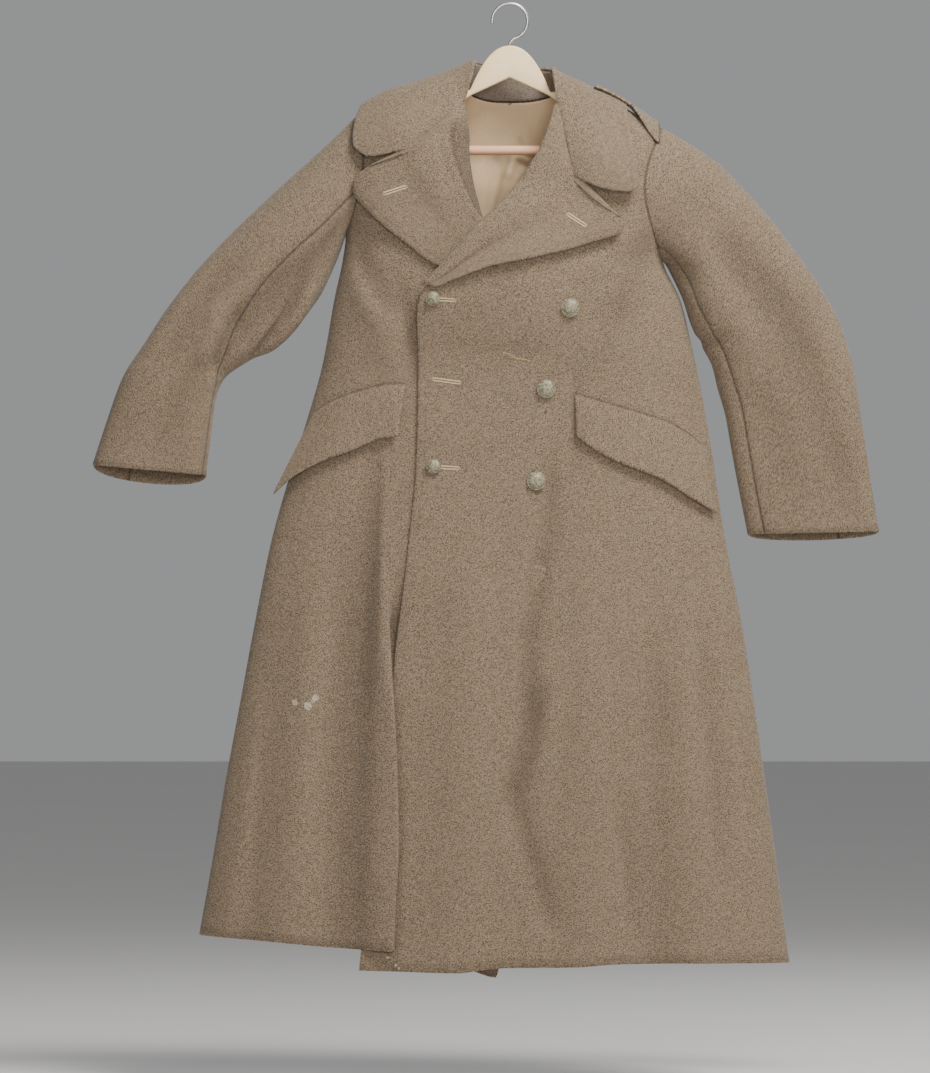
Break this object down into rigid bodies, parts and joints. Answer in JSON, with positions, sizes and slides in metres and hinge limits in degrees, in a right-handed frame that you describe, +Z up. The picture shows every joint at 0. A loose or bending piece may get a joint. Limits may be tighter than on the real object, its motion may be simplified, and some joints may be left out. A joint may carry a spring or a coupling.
{
  "type": "wool greatcoat on a wooden hanger",
  "caption": "Double-breasted military greatcoat with a wide fall collar, broad lapels, shoulder straps and slanted pocket flaps, hung open at the neck on a plain wooden hanger.",
  "frame": {"origin": "inner top of the hanger's wire hook, where a rail holds it", "axes": "+Z up, -Y out of the coat's front, +X to the wearer's left"},
  "size_m": [1.0636, 0.1696, 1.3193],
  "materials": {
    "greatcoat_wool": "khaki-brown heathered wool melton, matt",
    "collar_stand_wool": "greyish brown wool, matt",
    "lining_twill": "golden beige twill lining, slight sheen",
    "aged_brass": "aged pale greenish brass",
    "pale_wood": "pale cream varnished wood",
    "bar_wood": "pinkish bare wood",
    "hook_steel": "plain steel wire"
  },
  "bodies": {
    "root": {"front_left": "greatcoat_wool", "front_right": "greatcoat_wool", "back_left": "greatcoat_wool", "back_right": "greatcoat_wool", "sleeve_top_left": "greatcoat_wool", "sleeve_under_left": "greatcoat_wool", "sleeve_top_right": "greatcoat_wool", "sleeve_under_right": "greatcoat_wool", "lapel_left": "greatcoat_wool", "lapel_right": "greatcoat_wool", "pocket_flap_left": "greatcoat_wool", "pocket_flap_right": "greatcoat_wool", "collar_fall": "greatcoat_wool", "shoulder_strap_left": "greatcoat_wool", "shoulder_strap_right": "greatcoat_wool", "collar_stand": "collar_stand_wool", "lining_back": "lining_twill", "button_1": "aged_brass", "button_2": "aged_brass", "button_3": "aged_brass", "button_4": "aged_brass", "button_5": "aged_brass", "hanger": "pale_wood", "trouser_bar": "bar_wood", "hanger_hook": "hook_steel"}
  },
  "joints": []
}
